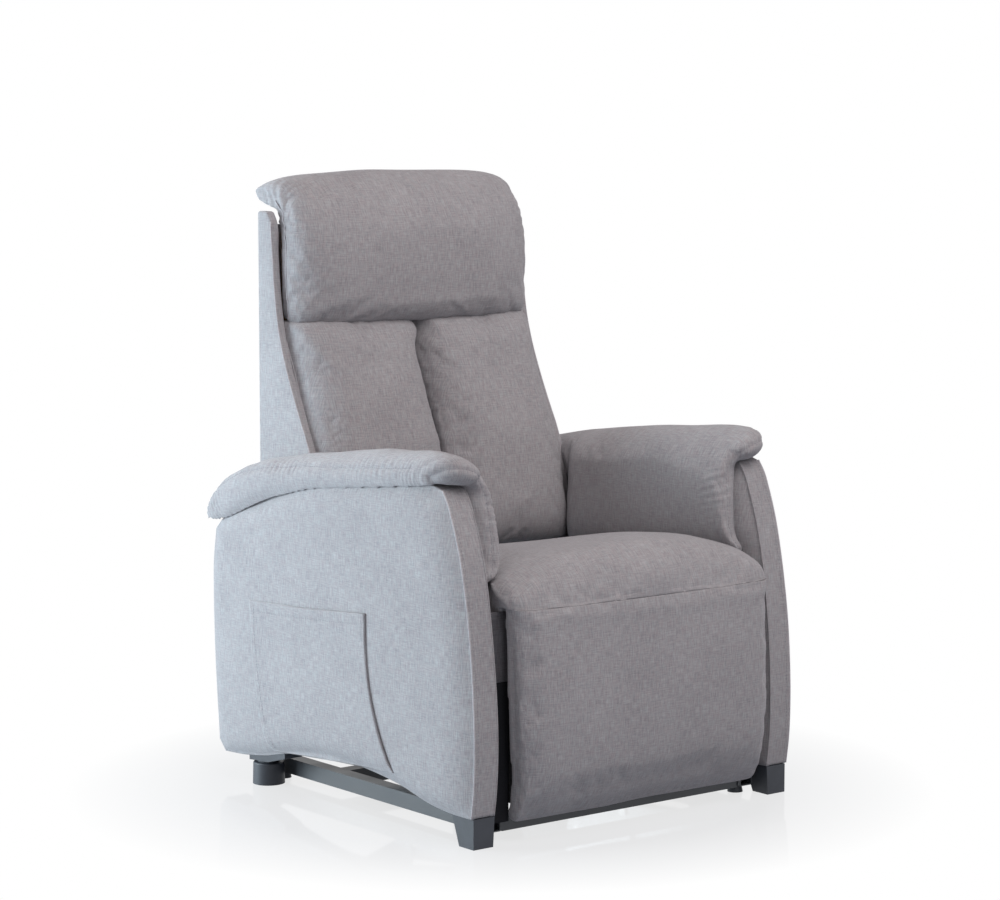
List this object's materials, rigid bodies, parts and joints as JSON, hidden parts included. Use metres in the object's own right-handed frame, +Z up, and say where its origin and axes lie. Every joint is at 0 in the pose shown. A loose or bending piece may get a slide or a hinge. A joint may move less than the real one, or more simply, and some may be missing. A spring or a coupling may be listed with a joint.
{
  "type": "lift recliner chair",
  "caption": "Upholstered lift recliner armchair with a tilting lift base, folding leg rest, reclining back, head pillow, padded arms and a side pocket.",
  "frame": {"origin": "on the floor under the middle of the chair's box", "axes": "+Z up, -Y to the front, +X to the sitter's left"},
  "size_m": [0.7448, 0.8216, 1.099],
  "materials": {
    "upholstery": "heathered woven upholstery fabric, light grey",
    "frame_steel": "anthracite powder coat, satin",
    "linkage_steel": "anthracite powder coat, satin",
    "pin_steel": "zinc plated",
    "rod_chrome": "hard chrome",
    "motor_plastic": "black moulded, fine grain",
    "foot_black": "black, satin",
    "timber": "raw beech and plywood",
    "webbing": "black elastic webbing"
  },
  "bodies": {
    "base": {"base_front_crossbar": "frame_steel", "base_rear_crossbar": "frame_steel", "base_glides": "foot_black", "base_pivot_pins": "pin_steel", "lift_motor_bracket": "frame_steel", "lift_motor": "motor_plastic", "base_rail_left": "frame_steel", "base_rail_right": "frame_steel"},
    "lift_arms": {"lift_drive_tube": "linkage_steel", "lift_link_left": "linkage_steel", "lift_link_right": "linkage_steel"},
    "stabilisers": {"stabiliser_links": "linkage_steel"},
    "lift_rod": {"lift_rod": "rod_chrome"},
    "seat": {"frame_pivot_pins": "pin_steel", "motor_cross_tube": "frame_steel", "rear_cross_tube": "frame_steel", "seat_front_rail": "timber", "seat_rear_rail": "timber", "seat_webbing": "webbing", "seat_cushion": "upholstery", "arm_bolts": "pin_steel", "side_pocket": "upholstery", "control_box": "motor_plastic", "leg_motor": "motor_plastic", "back_motor": "motor_plastic", "mechanism_plate_left": "linkage_steel", "mechanism_plate_right": "linkage_steel", "seat_rail_left": "timber", "seat_rail_right": "timber", "arm_panel_left": "timber", "arm_panel_right": "timber", "arm_padding_left": "upholstery", "arm_padding_right": "upholstery", "arm_pad_left": "upholstery", "arm_pad_right": "upholstery", "front_foot_left": "foot_black", "front_foot_right": "foot_black", "rear_foot_left": "foot_black", "rear_foot_right": "foot_black"},
    "backrest": {"back_lever_tube": "linkage_steel", "back_brackets": "linkage_steel", "back_panel": "upholstery", "back_top_rail": "timber", "back_bottom_rail": "timber", "back_webbing": "webbing", "head_pillow": "upholstery", "back_wing_left": "upholstery", "back_wing_right": "upholstery", "back_post_left": "timber", "back_post_right": "timber", "back_cushion_left": "upholstery", "back_cushion_right": "upholstery"},
    "back_rod": {"back_rod": "rod_chrome"},
    "leg_swing": {"leg_swing_links": "linkage_steel", "leg_drive_tube": "linkage_steel"},
    "leg_carry": {"leg_carry_links": "linkage_steel"},
    "leg_panel": {"leg_brackets": "linkage_steel", "leg_board": "timber", "leg_pad": "upholstery"},
    "leg_rod": {"leg_rod": "rod_chrome"}
  },
  "joints": [
    {"name": "lift", "type": "hinge", "parent": "base", "child": "lift_arms", "pos_m": [0, -0.282, 0.075], "axis": [1, 0, 0], "range_deg": [0, 50]},
    {"name": "seat_tilt", "type": "hinge", "parent": "lift_arms", "child": "seat", "pos_m": [0, 0.09223, 0.14099], "axis": [1, 0, 0], "range_deg": [-25, 0]},
    {"name": "stabiliser_swing", "type": "hinge", "parent": "base", "child": "stabilisers", "pos_m": [0, -0.318, 0.049], "axis": [1, 0, 0], "range_deg": [0, 56.5]},
    {"name": "lift_rod_travel", "type": "slide", "parent": "base", "child": "lift_rod", "axis": [0, -1, 0], "range_m": [0, 0.06762]},
    {"name": "back_recline", "type": "hinge", "parent": "seat", "child": "backrest", "pos_m": [0, 0.148, 0.33], "axis": [-1, 0, 0], "range_deg": [0, 35]},
    {"name": "back_rod_travel", "type": "slide", "parent": "seat", "child": "back_rod", "axis": [0, -1, 0], "range_m": [0, 0.04571]},
    {"name": "leg_rest", "type": "hinge", "parent": "seat", "child": "leg_swing", "pos_m": [0, -0.312, 0.33], "axis": [-1, 0, 0], "range_deg": [0, 34.6]},
    {"name": "leg_knee", "type": "hinge", "parent": "leg_swing", "child": "leg_carry", "pos_m": [0, -0.302, 0.125], "axis": [1, 0, 0], "range_deg": [0, 57.7]},
    {"name": "leg_panel_turn", "type": "hinge", "parent": "leg_carry", "child": "leg_panel", "pos_m": [0, -0.322, 0.312], "axis": [-1, 0, 0], "range_deg": [0, 108.1]},
    {"name": "leg_rod_travel", "type": "slide", "parent": "seat", "child": "leg_rod", "axis": [0, -1, 0], "range_m": [0, 0.04521]}
  ],
  "couplings": [
    {"joint": "seat_tilt", "follows": "lift", "ratio": -0.5},
    {"joint": "stabiliser_swing", "follows": "lift", "ratio": 1.13},
    {"joint": "lift_rod_travel", "follows": "lift", "m_per_rad": 0.077486},
    {"joint": "back_rod_travel", "follows": "back_recline", "m_per_rad": 0.074824},
    {"joint": "leg_knee", "follows": "leg_rest", "ratio": 1.6676},
    {"joint": "leg_panel_turn", "follows": "leg_rest", "ratio": 3.1243},
    {"joint": "leg_rod_travel", "follows": "leg_rest", "m_per_rad": 0.07485}
  ]
}
